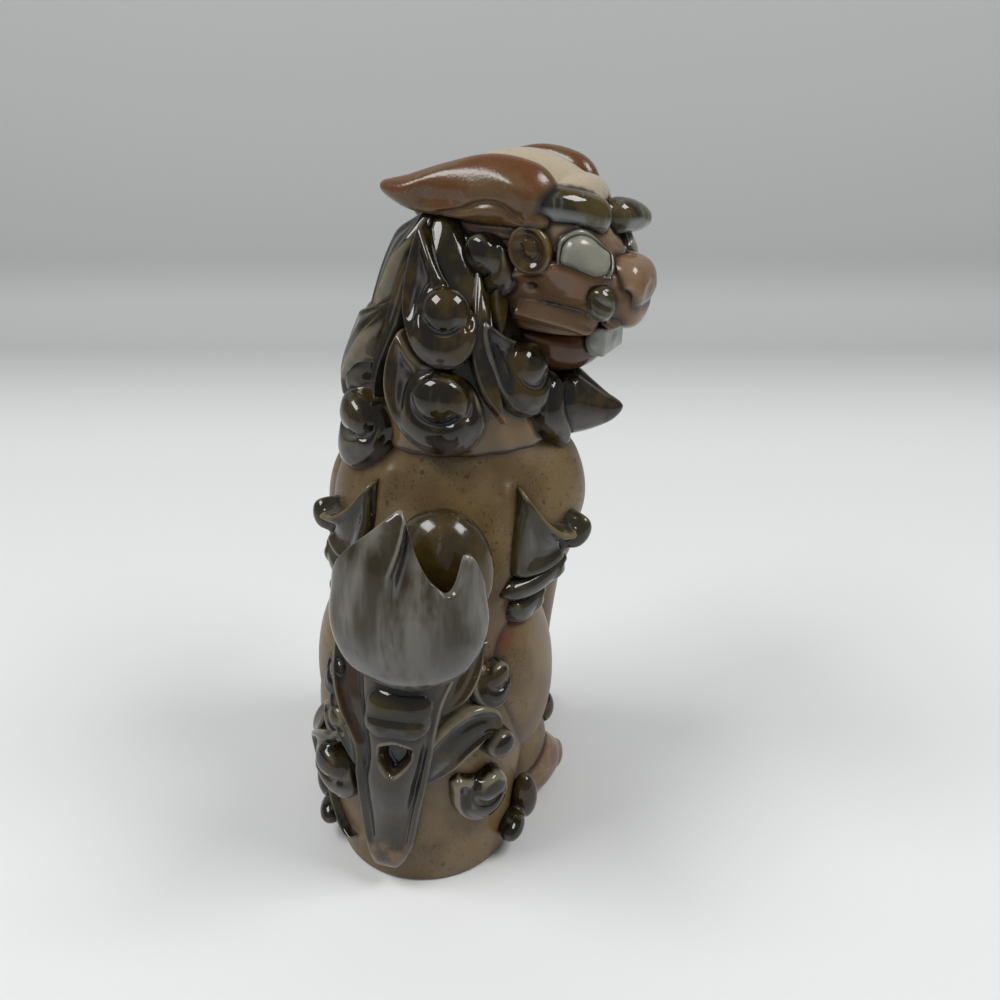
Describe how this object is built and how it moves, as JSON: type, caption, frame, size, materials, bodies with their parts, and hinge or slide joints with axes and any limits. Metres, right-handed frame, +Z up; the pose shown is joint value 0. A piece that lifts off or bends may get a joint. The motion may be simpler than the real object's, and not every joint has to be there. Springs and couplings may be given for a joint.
{
  "type": "stoneware lion-dog figurine",
  "caption": "Seated guardian lion-dog figurine of glazed stoneware, looking back over its right shoulder, with curled mane and flame-shaped tail.",
  "frame": {"origin": "middle of the bounding box, on the table plane under the foot ring", "axes": "+X towards the dog's chest and fore paws, +Y towards its left side, +Z up"},
  "size_m": [0.1196, 0.1028, 0.1988],
  "materials": {
    "buff_glaze": "thin speckled buff ash glaze, satin",
    "iron_brown_glaze": "sandy iron-brown glaze, glossy",
    "red_brown_glaze": "thin red-brown glaze, glossy",
    "olive_glaze": "glossy olive-brown glaze pooling to blue-black",
    "amber_glaze": "glossy amber-brown glaze",
    "milky_glaze": "milky grey streaked glaze, glossy",
    "celadon_glaze": "pale celadon glaze, glossy"
  },
  "bodies": {
    "root": {"ankle_knob_left": "olive_glaze", "ankle_knob_right": "olive_glaze", "beard_curl_left": "olive_glaze", "beard_curl_right": "olive_glaze", "beard_point": "olive_glaze", "body_shell": "buff_glaze", "brow_left": "olive_glaze", "brow_right": "olive_glaze", "cheek_curl_left": "olive_glaze", "cheek_curl_right": "olive_glaze", "ear_curl_left": "olive_glaze", "ear_curl_right": "olive_glaze", "ear_left": "iron_brown_glaze", "ear_right": "iron_brown_glaze", "elbow_curl_left": "olive_glaze", "elbow_curl_right": "olive_glaze", "elbow_knob_left": "olive_glaze", "elbow_knob_right": "olive_glaze", "elbow_wing_left": "olive_glaze", "elbow_wing_right": "olive_glaze", "eye_left": "celadon_glaze", "eye_right": "celadon_glaze", "fang_bump_left": "olive_glaze", "fang_bump_right": "olive_glaze", "fore_paw_left": "red_brown_glaze", "fore_paw_right": "red_brown_glaze", "foreleg_left": "buff_glaze", "foreleg_right": "buff_glaze", "haunch_left": "buff_glaze", "haunch_right": "buff_glaze", "head": "buff_glaze", "hind_paw_left": "red_brown_glaze", "hind_paw_right": "red_brown_glaze", "hock_drop_left": "olive_glaze", "hock_drop_right": "olive_glaze", "lower_jaw": "red_brown_glaze", "mane_collar": "olive_glaze", "mane_curl_back": "olive_glaze", "mane_curl_back_right": "olive_glaze", "mane_curl_front_left": "olive_glaze", "mane_curl_high_back": "olive_glaze", "mane_curl_high_left": "olive_glaze", "mane_curl_high_right": "olive_glaze", "mane_curl_low_back": "olive_glaze", "mane_curl_low_left": "olive_glaze", "mane_curl_low_right": "olive_glaze", "nose": "iron_brown_glaze", "tail_back_lobe": "amber_glaze", "tail_bud": "milky_glaze", "tail_curl_high_left": "olive_glaze", "tail_curl_high_right": "olive_glaze", "tail_curl_low_left": "olive_glaze", "tail_curl_low_right": "olive_glaze", "tail_curl_mid_left": "olive_glaze", "tail_curl_mid_right": "olive_glaze", "tail_side_petal": "milky_glaze", "tail_stem": "olive_glaze", "teeth": "celadon_glaze", "temple_swirl_left": "amber_glaze", "temple_swirl_right": "amber_glaze"}
  },
  "joints": []
}
